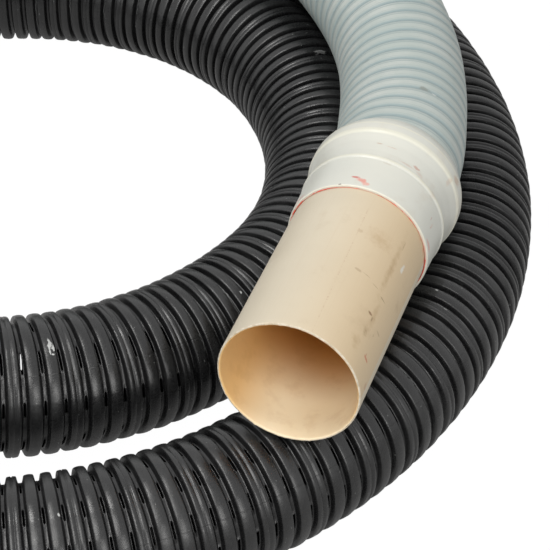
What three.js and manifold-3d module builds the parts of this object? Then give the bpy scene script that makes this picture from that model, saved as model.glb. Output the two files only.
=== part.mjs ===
// A coiled 4 inch vacuum hose line: a black corrugated hose in two turns on the floor, a grey spiral
// suction hose lying in the groove between them, and a swivel cuff with a cemented stub pipe.
// Millimetres, +Z up. The stub pipe and the cuff point along the Y axis, mouth towards -Y.

import * as THREE from "three";
import { mergeVertices } from "three/addons/utils/BufferGeometryUtils.js";
import Module from "manifold-3d";

const wasm = await Module();
wasm.setup();

// ---------- driving dimensions ----------

const GAP = 0.3; // between pieces that seat on each other
const DEG = Math.PI / 180;

// black corrugated hose
const BLACK_OD = 117;
const BLACK_RIB_DEPTH = 6;
const BLACK_WALL = 8; // inside the valleys
const BLACK_MOUTH_WALL = 1.5; // the same at the two ends
const BLACK_RIBS = 200;
const BLACK_BORE_SKIP_RIBS = 5; // ribs

// grey suction hose
const GREY_OD = 112.4;
const GREY_RIB_DEPTH = 1.6;
const GREY_WALL = 4.1;
const GREY_RIBS = 46;
const GREY_BORE_SKIP_RIBS = 2; // ribs

const BLACK_VALLEY_OD = BLACK_OD - 2 * BLACK_RIB_DEPTH;
const BLACK_BORE = BLACK_VALLEY_OD - 2 * BLACK_WALL;
const BLACK_MOUTH_BORE = BLACK_VALLEY_OD - 2 * BLACK_MOUTH_WALL;
const GREY_BORE = GREY_OD - 2 * (GREY_RIB_DEPTH + GREY_WALL);

const RING_POINTS = 8;
const FOOT_REACH = 1.6; // a ring this little above its resting height gets the flat foot

// stub pipe, 4 inch
const PIPE_OD = 114.3;
const PIPE_WALL = 2.3;
const PIPE_SHOWN = 179.5; // from the mouth to the cuff's rim
const PIPE_INSERTED = 50;

// cuff, measured from its rim on the pipe side
const CUFF_LENGTH = 99;
const CUFF_RIM_WALL = 2.35;
const CUFF_BARREL_WALL = 3.35;
const CUFF_BEAD_HEIGHT = 1.5;
const CUFF_BEAD_AT = 41;
const CUFF_BEAD_LENGTH = 4.5;
const CUFF_LIP_WALL = 4;
const CUFF_LIP_AT = 66;
const CUFF_LIP_LENGTH = 17;
const CUFF_TAIL_WALL = 1.2;
const CUFF_STOP_AT = 51;
const CUFF_STOP_LENGTH = 6;
const CUFF_STOP_HEIGHT = 6.45;
const CUFF_SHELF_LENGTH = 6; // plain length behind the bead
const CUFF_SHELF_HEIGHT = 0.4;
const CUFF_COVE_DEPTH = 1.7; // hollow on the barrel side of the lip
const CUFF_CROWN_HEIGHT = 1.3; // swell on the tail side of the lip
const CUFF_EDGE_LENGTH = 2;

// ferrule on the hose end, on which the cuff turns
const FERRULE_WALL = 2.2;
const FERRULE_FLANGE_HEIGHT = 3;
const FERRULE_FLANGE_LENGTH = 9;
const FERRULE_AT = 60.5; // from the cuff's rim to the ferrule's end
const FERRULE_STOP_LENGTH = 3;
const FERRULE_STOP_HEIGHT = 5.5;

// red solvent cement round the pipe at the cuff's rim
const CEMENT_WIDTH = 1.3;
const CEMENT_LENGTH = 1.1;

// where the swivel end lies
const AXIS_OFFSET = 145.4; // the swivel axis lies this far inside the first turn's radius
const MOUTH_Y = -325.6;
const DIP = 1.75 * DEG; // the pipe falls a little towards the cuff
const LIE_GAP = 0.52; // the least space under the swivel end, where it lies on the hose

// sleeve that joins the two hoses, with a worm clamp on each side
const SLEEVE_LENGTH = 112;
const SLEEVE_WALL = 4.2;
const SLEEVE_END_LIP = 1.6;
const SLEEVE_END_LIP_LENGTH = 5;
const SLEEVE_WEB_LENGTH = 9;
const SLEEVE_RIDGE_REACH = 3; // the ridge over the web runs on this far past it
const CLAMP_WIDTH = 13;
const CLAMP_BAND = 1;
const CLAMP_FROM_END = 17; // sleeve end to the middle of the band
const CLAMP_BOX = [24, 14, 9];
const CLAMP_BOX_SINK = 2.2; // the box reaches this far into the band
const SCREW_OD = 7;
const SCREW_LENGTH = 34;
const SCREW_HEAD_OD = 10.5;
const SCREW_HEAD_LENGTH = 6;
const SLEEVE_FLOOR_GAP = 0.6;

const ROUND = 48;

// ---------- routes of the two hoses ----------

const ease = (u) => {
  const v = Math.min(1, Math.max(0, u));
  return v * v * (3 - 2 * v);
};

// The black hose's turns, as a radius for each angle in degrees: it starts at the full radius and draws in.
const TURN_START_DEGREES = -150;
const TURN_END_DEGREES = 468;
const TURN_RADIUS = 535;
const TURN_STEP_DEGREES = 3; // degrees
const DRAW_INS = [
  [-150, 75, -0.2991],
  [-70, 112, -0.6838],
  [50, 65, 0.2051],
  [150, 140, -1.1197],
  [238, 40, 0.1722],
  [277, 50, -0.1722],
  [345, 55, -0.1026],
]; // from this angle, over this many degrees, by this many hose diameters
// The inner turn arches a little off the floor, as a springy hose does.
const RISES = [
  [238, 40, 0.1624],
  [277, 50, -0.1624],
]; // as above

function eased(changes, angle) {
  const amounts = changes.map(([from, over, by]) => by * BLACK_OD * ease((angle - from) / over));
  return amounts.reduce((sum, v) => sum + v, 0);
}

const turnRadius = (angle) => TURN_RADIUS + eased(DRAW_INS, angle);

const polar = (angle, radius, z) =>
  new THREE.Vector3(radius * Math.cos(angle * DEG), radius * Math.sin(angle * DEG), z);

const SLEEVE_SEAT_OD = Math.max(BLACK_OD, GREY_OD) + 2 * (GAP + SLEEVE_WALL);
const COUPLED_Z = SLEEVE_SEAT_OD / 2 + SLEEVE_END_LIP + SLEEVE_FLOOR_GAP;
const HUMP_DEGREES = 26; // the hose comes down from the sleeve's height over this angle

function turnHeight(angle) {
  const down = (COUPLED_Z - BLACK_OD / 2) * ease((angle - TURN_START_DEGREES) / HUMP_DEGREES);
  return COUPLED_Z - down + eased(RISES, angle);
}

function straightRun(from, direction, length, steps) {
  const points = [];
  for (let i = 1; i <= steps; i++) {
    points.push(from.clone().addScaledVector(direction, (length * i) / steps));
  }
  return points;
}

const turnPoint = (a) => polar(a, turnRadius(a), turnHeight(a));

function blackRoute() {
  const turns = [];
  for (let a = TURN_START_DEGREES; a < TURN_END_DEGREES + TURN_STEP_DEGREES / 2; a += TURN_STEP_DEGREES) {
    turns.push(turnPoint(a));
  }
  const first = turns[0];
  const last = turns.at(-1);
  const back = first.clone().sub(turnPoint(TURN_START_DEGREES + 0.2)).setZ(0).normalize();
  const on = last.clone().sub(turnPoint(TURN_END_DEGREES - 0.2)).setZ(0).normalize();
  const lead = straightRun(first, back, BLACK_OD, 4).reverse();
  return [...lead, ...turns, ...straightRun(last, on, BLACK_OD, 4)];
}

const black = blackRoute();
const blackStart = black[0];
const joinDirection = black[0].clone().sub(black[1]).normalize();

const SOCKET_BORE = PIPE_OD + 2 * GAP;
const FERRULE_BORE = GREY_OD + 2 * GAP;
const FERRULE_OD = FERRULE_BORE + 2 * FERRULE_WALL;
const FERRULE_FLANGE_OD = FERRULE_OD + 2 * FERRULE_FLANGE_HEIGHT;
const RUNNING_BORE = FERRULE_OD + 2 * GAP;
const GROOVE_BORE = FERRULE_FLANGE_OD + 2 * GAP;
const CUFF_STOP_BORE = SOCKET_BORE - 2 * CUFF_STOP_HEIGHT;
const FERRULE_STOP_BORE = FERRULE_BORE - 2 * FERRULE_STOP_HEIGHT;
const CUFF_RIM_OD = SOCKET_BORE + 2 * CUFF_RIM_WALL;
const CUFF_BARREL_OD = SOCKET_BORE + 2 * CUFF_BARREL_WALL;
const CUFF_BEAD_OD = CUFF_BARREL_OD + 2 * CUFF_BEAD_HEIGHT;
const CUFF_LIP_OD = GROOVE_BORE + 2 * CUFF_LIP_WALL;
const CUFF_TAIL_OD = RUNNING_BORE + 2 * CUFF_TAIL_WALL;

const CUFF_AT = PIPE_SHOWN;
const AXIS_X = TURN_RADIUS - AXIS_OFFSET;
const blackSamples = new THREE.CatmullRomCurve3(black).getSpacedPoints(900);

// How high the middle of a ring of this diameter lies when it rests on the black hose here.
function restHeight(x, y, od) {
  const reach = (BLACK_OD + od) / 2 + LIE_GAP;
  let height = od / 2;
  for (const p of blackSamples) {
    const aside = Math.hypot(p.x - x, p.y - y);
    if (aside < reach) height = Math.max(height, p.z + Math.sqrt(reach ** 2 - aside ** 2));
  }
  return height;
}

// The mouth's height: the pipe and the cuff's bead and lip all clear the hose under them.
function mouthHeight() {
  const rings = [
    [CUFF_AT + CUFF_BEAD_AT + CUFF_BEAD_LENGTH / 2, CUFF_BEAD_OD],
    [CUFF_AT + CUFF_LIP_AT, CUFF_LIP_OD],
    [CUFF_AT + CUFF_LIP_AT + CUFF_LIP_LENGTH, CUFF_LIP_OD],
  ];
  for (let i = 0; i <= 12; i++) rings.push([(CUFF_AT * i) / 12, PIPE_OD]);
  const heights = rings.map(
    ([s, od]) => restHeight(AXIS_X, MOUTH_Y + s * Math.cos(DIP), od) + s * Math.sin(DIP),
  );
  return Math.max(...heights);
}

// A point on the swivel axis, this far from the mouth.
const swivelAxis = new THREE.Vector3(0, Math.cos(DIP), -Math.sin(DIP));
const mouth = new THREE.Vector3(AXIS_X, MOUTH_Y, mouthHeight());
const onAxis = (s) => mouth.clone().addScaledVector(swivelAxis, s);

const FERRULE_S = CUFF_AT + FERRULE_AT;
const GREY_START_S = FERRULE_S + FERRULE_STOP_LENGTH + GAP;
const CUFF_END_S = CUFF_AT + CUFF_LENGTH;

// The grey hose between its two straight ends: the angle in degrees of each point, then how far it
// lies outside the first turn's radius, and how high, both in steps from hose to touching hose.
const HOSE_STEP = (BLACK_OD + GREY_OD) / 2;
const GREY_FREE = [
  [-1, -1.3043, 1.4438],
  [5, -1.3662, 1.4237],
  [12, -1.4106, 1.4089],
  [20.5, -1.4420, 1.4010],
  [29.5, -1.4664, 1.3984],
  [38.5, -1.4752, 1.4002],
  [48, -1.4542, 1.4106],
  [58, -1.3949, 1.4316],
  [68, -1.3078, 1.4577],
  [78, -1.1770, 1.4891],
  [88, -1.0113, 1.5153],
  [98, -0.7934, 1.5240],
  [108, -0.5318, 1.4952],
  [118, -0.2441, 1.3993],
  [128, 0.0523, 1.2249],
  [138, 0.3226, 1.0026],
  [148, 0.5405, 0.7934],
  [157, 0.6800, 0.6452],
  [166, 0.7585, 0.5580],
  [174, 0.7498, 0.5362],
  [180.5, 0.6277, 0.5623],
];

function greyRoute() {
  const end = blackStart.clone().addScaledVector(joinDirection, SLEEVE_WEB_LENGTH + 2 * GAP);
  const straight = straightRun(end, joinDirection, GREY_OD, 2).reverse();
  const free = GREY_FREE.map(([a, out, high]) =>
    polar(a, TURN_RADIUS + out * HOSE_STEP, high * HOSE_STEP),
  );
  return [onAxis(GREY_START_S), onAxis(CUFF_END_S), ...free, ...straight, end];
}

const grey = greyRoute();

// ---------- ribbed hoses ----------

function ringAt(curve, u, radius, restHeight) {
  const centre = curve.getPointAt(u);
  const along = curve.getTangentAt(u);
  const side = new THREE.Vector3().crossVectors(along, new THREE.Vector3(0, 0, 1)).normalize();
  const up = new THREE.Vector3().crossVectors(side, along);
  const onFloor = restHeight !== null && centre.z < restHeight + FOOT_REACH;
  const points = [];
  for (let k = 0; k < RING_POINTS; k++) {
    const angle = ((k + 0.5) / RING_POINTS) * 2 * Math.PI;
    const p = centre.clone();
    p.addScaledVector(side, radius * Math.cos(angle));
    p.addScaledVector(up, radius * Math.sin(angle));
    const bottom = Math.sin(angle) < -0.9;
    if (onFloor && bottom) p.z = 0;
    points.push(p);
  }
  return points;
}

// Joins each ring to the next and the last to the first, as one closed surface.
function closedSkin(rings) {
  const geometry = new THREE.BufferGeometry();
  const index = [];
  rings.forEach((ring, i) => {
    const a = i * RING_POINTS;
    const b = ((i + 1) % rings.length) * RING_POINTS;
    for (let k = 0; k < RING_POINTS; k++) {
      const n = (k + 1) % RING_POINTS;
      index.push(a + k, b + n, a + n, a + k, b + k, b + n);
    }
  });
  geometry.setFromPoints(rings.flat());
  geometry.setIndex(index);
  return geometry;
}

// Crest and valley rings out along the hose, then bore rings back.
function ribbedHose(points, { od, depth, bore, mouthBore, ribs, boreEvery }) {
  const curve = new THREE.CatmullRomCurve3(points);
  curve.arcLengthDivisions = 2000;
  const rings = [];
  for (let i = 0; i <= 2 * ribs; i++) {
    const crest = i % 2 === 0;
    rings.push(ringAt(curve, i / (2 * ribs), od / 2 - (crest ? 0 : depth), od / 2));
  }
  const boreRings = Math.ceil(ribs / boreEvery);
  for (let i = boreRings; i >= 0; i--) {
    const atEnd = i === 0 || i === boreRings;
    rings.push(ringAt(curve, i / boreRings, (atEnd ? mouthBore : bore) / 2, null));
  }
  return { geometry: closedSkin(rings), length: curve.getLength() };
}

// The least clear space between stretches of a hose that lie side by side.
function leastSelfGap(points, od) {
  const curve = new THREE.CatmullRomCurve3(points);
  const samples = curve.getSpacedPoints(600);
  const apart = Math.ceil((4 * od) / (curve.getLength() / 600));
  let least = Infinity;
  for (let i = 0; i < samples.length; i++) {
    for (let j = i + apart; j < samples.length; j++) {
      least = Math.min(least, samples[i].distanceTo(samples[j]) - od);
    }
  }
  return least;
}

// ---------- turned pieces, along +Y from their own origin ----------

// profile: [distance along the axis, diameter] pairs, in order round the wall's section
function turned(profile, segments = ROUND) {
  const points = profile.map(([s, d]) => new THREE.Vector2(d / 2, s));
  points.push(points[0].clone());
  return new THREE.LatheGeometry(points.reverse(), segments);
}

function arcProfile(s0, d0, s1, d1, bulge, steps) {
  const out = [];
  for (let i = 1; i < steps; i++) {
    const u = i / steps;
    out.push([s0 + (s1 - s0) * u, d0 + (d1 - d0) * u + bulge * Math.sin(Math.PI * u)]);
  }
  return out;
}

function stubPipe() {
  const end = PIPE_SHOWN + PIPE_INSERTED;
  const id = PIPE_OD - 2 * PIPE_WALL;
  return turned([
    [0, PIPE_OD],
    [0, id],
    [end, id],
    [end, PIPE_OD],
  ]);
}

function cementBead() {
  const outer = SOCKET_BORE + 2 * CEMENT_WIDTH;
  return turned([
    [-GAP - CEMENT_LENGTH, SOCKET_BORE],
    [-GAP, SOCKET_BORE],
    [-GAP, outer],
    [-GAP - CEMENT_LENGTH * 0.6, outer - 0.8],
  ]);
}

const FLANGE_AT = CUFF_LIP_AT + (CUFF_LIP_LENGTH - FERRULE_FLANGE_LENGTH) / 2;

function cuff() {
  const beadEnd = CUFF_BEAD_AT + CUFF_BEAD_LENGTH;
  const lipEnd = CUFF_LIP_AT + CUFF_LIP_LENGTH;
  const shelfEnd = beadEnd + CUFF_SHELF_LENGTH;
  const shelf = CUFF_BARREL_OD + 2 * CUFF_SHELF_HEIGHT;
  const grooveEnd = FLANGE_AT + FERRULE_FLANGE_LENGTH + GAP;
  const neck = CUFF_STOP_AT + CUFF_STOP_LENGTH;
  return turned([
    [0, SOCKET_BORE],
    [CUFF_STOP_AT, SOCKET_BORE],
    [CUFF_STOP_AT, CUFF_STOP_BORE],
    [neck, CUFF_STOP_BORE],
    [neck, RUNNING_BORE],
    [FLANGE_AT - GAP, RUNNING_BORE],
    [FLANGE_AT - GAP, GROOVE_BORE],
    [grooveEnd, GROOVE_BORE],
    [grooveEnd, RUNNING_BORE],
    [CUFF_LENGTH, RUNNING_BORE],
    [CUFF_LENGTH, CUFF_TAIL_OD],
    ...arcProfile(CUFF_LENGTH, CUFF_TAIL_OD, lipEnd, CUFF_LIP_OD, 2 * CUFF_CROWN_HEIGHT, 4),
    [lipEnd, CUFF_LIP_OD - 0.4],
    [lipEnd - CUFF_EDGE_LENGTH, CUFF_LIP_OD],
    [CUFF_LIP_AT + CUFF_EDGE_LENGTH, CUFF_LIP_OD],
    ...arcProfile(CUFF_LIP_AT + CUFF_EDGE_LENGTH, CUFF_LIP_OD, shelfEnd, shelf, -2 * CUFF_COVE_DEPTH, 5),
    [shelfEnd, shelf],
    [beadEnd, CUFF_BARREL_OD + 0.6],
    [beadEnd - 0.8, CUFF_BEAD_OD],
    [CUFF_BEAD_AT + 1.2, CUFF_BEAD_OD],
    [CUFF_BEAD_AT, CUFF_BARREL_OD],
    [1.2, CUFF_RIM_OD],
    [0, CUFF_RIM_OD - 1],
  ]);
}

function swivelFerrule() {
  const end = CUFF_LENGTH - FERRULE_AT - 0.5;
  const flange = FLANGE_AT - FERRULE_AT;
  return turned([
    [0, FERRULE_STOP_BORE],
    [FERRULE_STOP_LENGTH, FERRULE_STOP_BORE],
    [FERRULE_STOP_LENGTH, FERRULE_BORE],
    [end, FERRULE_BORE],
    [end, FERRULE_OD],
    [flange + FERRULE_FLANGE_LENGTH, FERRULE_OD],
    [flange + FERRULE_FLANGE_LENGTH, FERRULE_FLANGE_OD],
    [flange, FERRULE_FLANGE_OD],
    [flange, FERRULE_OD],
    [0, FERRULE_OD],
  ]);
}

// ---------- the sleeve and its clamps, along +Y from the black hose's end face ----------

const SLEEVE_BLACK_SIDE = (SLEEVE_LENGTH - SLEEVE_WEB_LENGTH) / 2;
const sleeveEnds = {
  black: -SLEEVE_BLACK_SIDE + GAP,
  grey: SLEEVE_WEB_LENGTH + GAP + SLEEVE_BLACK_SIDE,
};

function couplingSleeve() {
  const { black: s0, grey: s1 } = sleeveEnds;
  const seat = SLEEVE_SEAT_OD;
  const lip = seat + 2 * SLEEVE_END_LIP;
  return turned([
    [s0, BLACK_OD + 2 * GAP],
    [GAP, BLACK_OD + 2 * GAP],
    [GAP, GREY_BORE],
    [GAP + SLEEVE_WEB_LENGTH, GREY_BORE],
    [GAP + SLEEVE_WEB_LENGTH, GREY_OD + 2 * GAP],
    [s1, GREY_OD + 2 * GAP],
    [s1, lip],
    [s1 - SLEEVE_END_LIP_LENGTH, lip],
    [s1 - SLEEVE_END_LIP_LENGTH - 1.5, seat],
    [GAP + SLEEVE_WEB_LENGTH + SLEEVE_RIDGE_REACH, seat],
    [GAP + SLEEVE_WEB_LENGTH / 2, seat + 1.2],
    [GAP - SLEEVE_RIDGE_REACH, seat],
    [s0 + SLEEVE_END_LIP_LENGTH + 1.5, seat],
    [s0 + SLEEVE_END_LIP_LENGTH, lip],
    [s0, lip],
  ]);
}

function toSolid(geometry) {
  const bare = geometry.clone();
  bare.deleteAttribute("normal");
  bare.deleteAttribute("uv");
  const merged = mergeVertices(bare, 1e-3);
  return new wasm.Manifold(
    new wasm.Mesh({
      numProp: 3,
      vertProperties: merged.attributes.position.array,
      triVerts: new Uint32Array(merged.index.array),
    }),
  );
}

function toGeometry(solid) {
  const mesh = solid.getMesh();
  const geometry = new THREE.BufferGeometry();
  geometry.setAttribute("position", new THREE.BufferAttribute(mesh.vertProperties, 3));
  geometry.setIndex(new THREE.BufferAttribute(mesh.triVerts, 1));
  return geometry;
}

const BAND_ID = SLEEVE_SEAT_OD + 2 * GAP;
const BAND_OD = BAND_ID + 2 * CLAMP_BAND;
const SCREW_HEIGHT = BAND_OD / 2 + CLAMP_BOX[2] / 2 - 0.5;

// A band with its worm housing on top, bored for the screw that lies along X.
function clampBand() {
  const half = CLAMP_WIDTH / 2;
  const band = turned([
    [-half, BAND_ID],
    [half, BAND_ID],
    [half, BAND_OD],
    [-half, BAND_OD],
  ]);
  const [width, length, height] = CLAMP_BOX;
  const base = BAND_OD / 2 - CLAMP_BOX_SINK;
  const top = BAND_OD / 2 + height;
  const box = new THREE.BoxGeometry(width, length, top - base).translate(0, 0, (top + base) / 2);
  const inside = new THREE.CylinderGeometry(BAND_ID / 2, BAND_ID / 2, 2 * length, ROUND);
  const boreR = SCREW_OD / 2 + GAP;
  const bore = new THREE.CylinderGeometry(boreR, boreR, 2 * width, 16);
  bore.rotateZ(Math.PI / 2).translate(0, 0, SCREW_HEIGHT);
  const housing = toSolid(box).subtract(toSolid(inside));
  return toGeometry(toSolid(band).add(housing).subtract(toSolid(bore)));
}

function clampScrew() {
  const shank = new THREE.CylinderGeometry(SCREW_OD / 2, SCREW_OD / 2, SCREW_LENGTH, 16);
  const head = new THREE.CylinderGeometry(SCREW_HEAD_OD / 2, SCREW_HEAD_OD / 2, SCREW_HEAD_LENGTH, 6);
  head.translate(0, SCREW_LENGTH / 2 + SCREW_HEAD_LENGTH / 2 - 1, 0);
  const slot = new THREE.BoxGeometry(SCREW_HEAD_OD + 2, 1.6, 1.4);
  slot.translate(0, SCREW_LENGTH / 2 + SCREW_HEAD_LENGTH - 1, 0);
  const solid = toSolid(shank).add(toSolid(head)).subtract(toSolid(slot));
  return toGeometry(solid).rotateZ(-Math.PI / 2).translate(0, 0, SCREW_HEIGHT);
}

// ---------- materials ----------

const paint = (color, roughness, metalness = 0) =>
  new THREE.MeshStandardMaterial({ color, roughness, metalness });

const blackPlastic = paint("#2b2c2d", 0.5);
const greyPlastic = paint("#9fb0aa", 0.38);
const whitePlastic = paint("#dcdbd0", 0.35);
const beigePlastic = paint("#d6c5a6", 0.4);
const redCement = paint("#d2402f", 0.45);
const ferrulePlastic = paint("#c9c9c0", 0.45);
const rubber = paint("#1b1b1c", 0.75);
const steel = paint("#b9bcbf", 0.3, 1);

// ---------- the assembly ----------

function named(name, geometry, material) {
  const mesh = new THREE.Mesh(geometry, material.clone());
  mesh.name = name;
  return mesh;
}

// The cuff, the ferrule, the cement and the pipe share the swivel axis.
function swivelGroup() {
  const group = new THREE.Group();
  group.position.copy(onAxis(0));
  group.rotation.x = -DIP;
  const pipe = named("stub_pipe", stubPipe(), beigePlastic);
  const bead = named("cement_bead", cementBead(), redCement);
  const body = named("cuff", cuff(), whitePlastic);
  const ferrule = named("swivel_ferrule", swivelFerrule(), ferrulePlastic);
  bead.position.y = CUFF_AT;
  body.position.y = CUFF_AT;
  ferrule.position.y = FERRULE_S;
  group.add(pipe, bead, body, ferrule);
  return group;
}

// The sleeve and its two clamps share the axis of the hose ends.
function couplingGroup() {
  const group = new THREE.Group();
  group.position.copy(blackStart);
  group.rotation.z = Math.atan2(joinDirection.y, joinDirection.x) - Math.PI / 2;
  group.add(named("coupling_sleeve", couplingSleeve(), rubber));
  const seats = {
    black: sleeveEnds.black + CLAMP_FROM_END,
    grey: sleeveEnds.grey - CLAMP_FROM_END,
  };
  for (const [side, y] of Object.entries(seats)) {
    const band = named("clamp_band_" + side, clampBand(), steel);
    const screw = named("clamp_screw_" + side, clampScrew(), steel);
    band.position.y = y;
    screw.position.y = y;
    group.add(band, screw);
  }
  return group;
}

const blackHose = ribbedHose(black, {
  od: BLACK_OD,
  depth: BLACK_RIB_DEPTH,
  bore: BLACK_BORE,
  mouthBore: BLACK_MOUTH_BORE,
  ribs: BLACK_RIBS,
  boreEvery: BLACK_BORE_SKIP_RIBS,
});
const greyHose = ribbedHose(grey, {
  od: GREY_OD,
  depth: GREY_RIB_DEPTH,
  bore: GREY_BORE,
  mouthBore: GREY_BORE,
  ribs: GREY_RIBS,
  boreEvery: GREY_BORE_SKIP_RIBS,
});

const assembly = new THREE.Group();
assembly.add(
  named("black_hose", blackHose.geometry, blackPlastic),
  named("grey_hose", greyHose.geometry, greyPlastic),
  swivelGroup(),
  couplingGroup(),
);

// The origin is under the middle of the whole thing.
assembly.updateMatrixWorld(true);
const extent = new THREE.Box3().setFromObject(assembly, true);
const middle = extent.getCenter(new THREE.Vector3());
assembly.position.set(-middle.x, -middle.y, -extent.min.z);

console.log("black hose length", blackHose.length.toFixed(1));
console.log("black hose least gap to itself", leastSelfGap(black, BLACK_OD).toFixed(2));
console.log("grey hose length", greyHose.length.toFixed(1));
console.log("mouth height", mouth.z.toFixed(3));
console.log("coil centre", assembly.position.toArray().map((v) => v.toFixed(2)).join(" "));

const part = new THREE.Group();
part.add(assembly);

export default part;
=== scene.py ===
"""Looks of a coiled vacuum hose line: corrugated hose, spiral suction hose, swivel cuff and stub pipe."""

import math

import bpy
import numpy as np
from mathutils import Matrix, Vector


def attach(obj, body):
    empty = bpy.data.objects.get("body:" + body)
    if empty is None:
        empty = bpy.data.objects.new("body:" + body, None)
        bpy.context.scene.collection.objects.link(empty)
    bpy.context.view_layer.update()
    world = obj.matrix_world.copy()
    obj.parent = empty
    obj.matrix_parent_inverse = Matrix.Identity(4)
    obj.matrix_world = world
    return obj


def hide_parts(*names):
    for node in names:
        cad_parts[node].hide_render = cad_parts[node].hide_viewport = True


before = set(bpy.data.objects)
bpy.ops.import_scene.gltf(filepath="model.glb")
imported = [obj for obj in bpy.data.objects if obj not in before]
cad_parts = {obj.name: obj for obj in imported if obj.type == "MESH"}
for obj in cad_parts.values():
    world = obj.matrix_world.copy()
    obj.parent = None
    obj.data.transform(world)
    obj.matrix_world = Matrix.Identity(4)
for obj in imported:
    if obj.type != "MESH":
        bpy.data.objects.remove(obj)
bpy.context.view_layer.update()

MM = 0.001
GAP = 0.3  # mm, between pieces that seat on each other
COIL_CENTRE = np.array([82.97, 27.62, 0.0])  # mm, in the part's frame
UP = np.array([0.0, 0.0, 1.0])

# ---------------------------------------------------------------- camera

CAMERA_AT = (0.86563, -1.50545, 1.36206)
CAMERA_TO = (0.35719, 0.01599, 0.0)

camera_data = bpy.data.cameras.new("camera")
camera = bpy.data.objects.new("camera", camera_data)
bpy.context.scene.collection.objects.link(camera)
camera.location = CAMERA_AT
camera.rotation_euler = (Vector(CAMERA_TO) - Vector(CAMERA_AT)).to_track_quat("-Z", "Y").to_euler()
camera_data.lens = 150
camera_data.sensor_width = 36
camera_data.clip_start = 0.05
camera_data.clip_end = 40
bpy.context.scene.camera = camera

# ---------------------------------------------------------------- routes, as in the solids (mm)

BLACK_R = 58.5
GREY_R = 56.2
TURN_R = 535
TURN_START, TURN_END, TURN_STEP = -150, 468, 3  # degrees
AHEAD = 0.2  # degrees, to find which way a turn goes
DRAW_INS = [
    (-150, 75, -0.2991), (-70, 112, -0.6838), (50, 65, 0.2051), (150, 140, -1.1197),
    (238, 40, 0.1722), (277, 50, -0.1722), (345, 55, -0.1026),
]  # from this angle, over this many degrees, by this many hose diameters
RISES = [(238, 40, 0.1624), (277, 50, -0.1624)]
SLEEVE_WALL = 4.2
SLEEVE_LIP = 1.6
SLEEVE_LENGTH = 112
SLEEVE_WEB = 9.0
SLEEVE_FLOOR_GAP = 0.6
COUPLED_Z = (2 * BLACK_R + 2 * (GAP + SLEEVE_WALL)) / 2 + SLEEVE_LIP + SLEEVE_FLOOR_GAP
HUMP_DEGREES = 26  # the hose comes down from the sleeve's height over this angle
AXIS_START = np.array([389.6, -325.6, 176.4])  # the middle of the pipe's mouth
DIP = math.radians(1.75)
AXIS = np.array([0.0, math.cos(DIP), -math.sin(DIP)])
CUFF_AT = 179.5  # mm along the axis from the mouth, as are the next places
FERRULE_AT = CUFF_AT + 60.5
FERRULE_STOP = 3
GREY_START = FERRULE_AT + (FERRULE_STOP + GAP)
CUFF_END = CUFF_AT + 99
GREY_FREE = [
    (-1, 385.4, 165.6), (5, 378.3, 163.3), (12, 373.2, 161.6), (20.5, 369.6, 160.7),
    (29.5, 366.8, 160.4), (38.5, 365.8, 160.6), (48, 368.2, 161.8), (58, 375, 164.2),
    (68, 385, 167.2), (78, 400, 170.8), (88, 419, 173.8), (98, 444, 174.8),
    (108, 474, 171.5), (118, 507, 160.5), (128, 541, 140.5), (138, 572, 115),
    (148, 597, 91), (157, 613, 74), (166, 622, 64), (174, 621, 61.5), (180.5, 607, 64.5),
]  # angle in degrees, radius, height


def ease(u):
    u = min(1.0, max(0.0, u))
    return u * u * (3 - 2 * u)


def unit(v):
    return v / np.linalg.norm(v)


def polar(angle, radius, z):
    a = math.radians(angle)
    return np.array([radius * math.cos(a), radius * math.sin(a), z])


def eased(changes, angle):
    """The sum of the changes so far, each an angle to start from, an angle to take and hose diameters."""
    return sum(by * 2 * BLACK_R * ease((angle - start) / over) for start, over, by in changes)


def turn_point(angle):
    down = (COUPLED_Z - BLACK_R) * ease((angle - TURN_START) / HUMP_DEGREES)
    return polar(angle, TURN_R + eased(DRAW_INS, angle), COUPLED_Z - down + eased(RISES, angle))


def straight(start, direction, length, steps):
    return [start + direction * length * i / steps for i in range(1, steps + 1)]


def level(v):
    return unit(v * np.array([1.0, 1.0, 0.0]))


def catmull(points, steps=24):
    """Centripetal Catmull-Rom through the points."""
    p = np.array(points, float)
    q = np.vstack([2 * p[0] - p[1], p, 2 * p[-1] - p[-2]])
    out = []
    for i in range(1, len(q) - 2):
        p0, p1, p2, p3 = q[i - 1 : i + 3]
        d0, d1, d2 = (np.linalg.norm(v) ** 0.5 for v in (p1 - p0, p2 - p1, p3 - p2))
        m1 = ((p1 - p0) / d0 - (p2 - p0) / (d0 + d1) + (p2 - p1) / d1) * d1
        m2 = ((p2 - p1) / d1 - (p3 - p1) / (d1 + d2) + (p3 - p2) / d2) * d1
        u = np.linspace(0, 1, steps, endpoint=False)[:, None]
        square = -3 * p1 + 3 * p2 - 2 * m1 - m2
        cube = 2 * p1 - 2 * p2 + m1 + m2
        out.append(p1 + m1 * u + square * u**2 + cube * u**3)
    return np.vstack(out + [p[-1:]])


def black_points():
    angles = np.arange(TURN_START, TURN_END + TURN_STEP / 2, TURN_STEP)
    turns = [turn_point(a) for a in angles]
    back = level(turns[0] - turn_point(TURN_START + AHEAD))
    on = level(turns[-1] - turn_point(TURN_END - AHEAD))
    lead = straight(turns[0], back, 2 * BLACK_R, 4)[::-1]
    return lead + turns + straight(turns[-1], on, 2 * BLACK_R, 4)


black_route_points = black_points()
joint_at = black_route_points[0]
join_direction = unit(black_route_points[0] - black_route_points[1])


def on_axis(s):
    return AXIS_START + AXIS * s


def grey_points():
    end = joint_at + join_direction * (SLEEVE_WEB + 2 * GAP)
    tail = straight(end, join_direction, 2 * GREY_R, 2)[::-1]
    free = [polar(*p) for p in GREY_FREE]
    return [on_axis(GREY_START), on_axis(CUFF_END)] + free + tail + [end]


black_line = catmull(black_route_points) + COIL_CENTRE
grey_line = catmull(grey_points()) + COIL_CENTRE


ROUTE_STEP = 2  # mm between the points kept of a route


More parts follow.
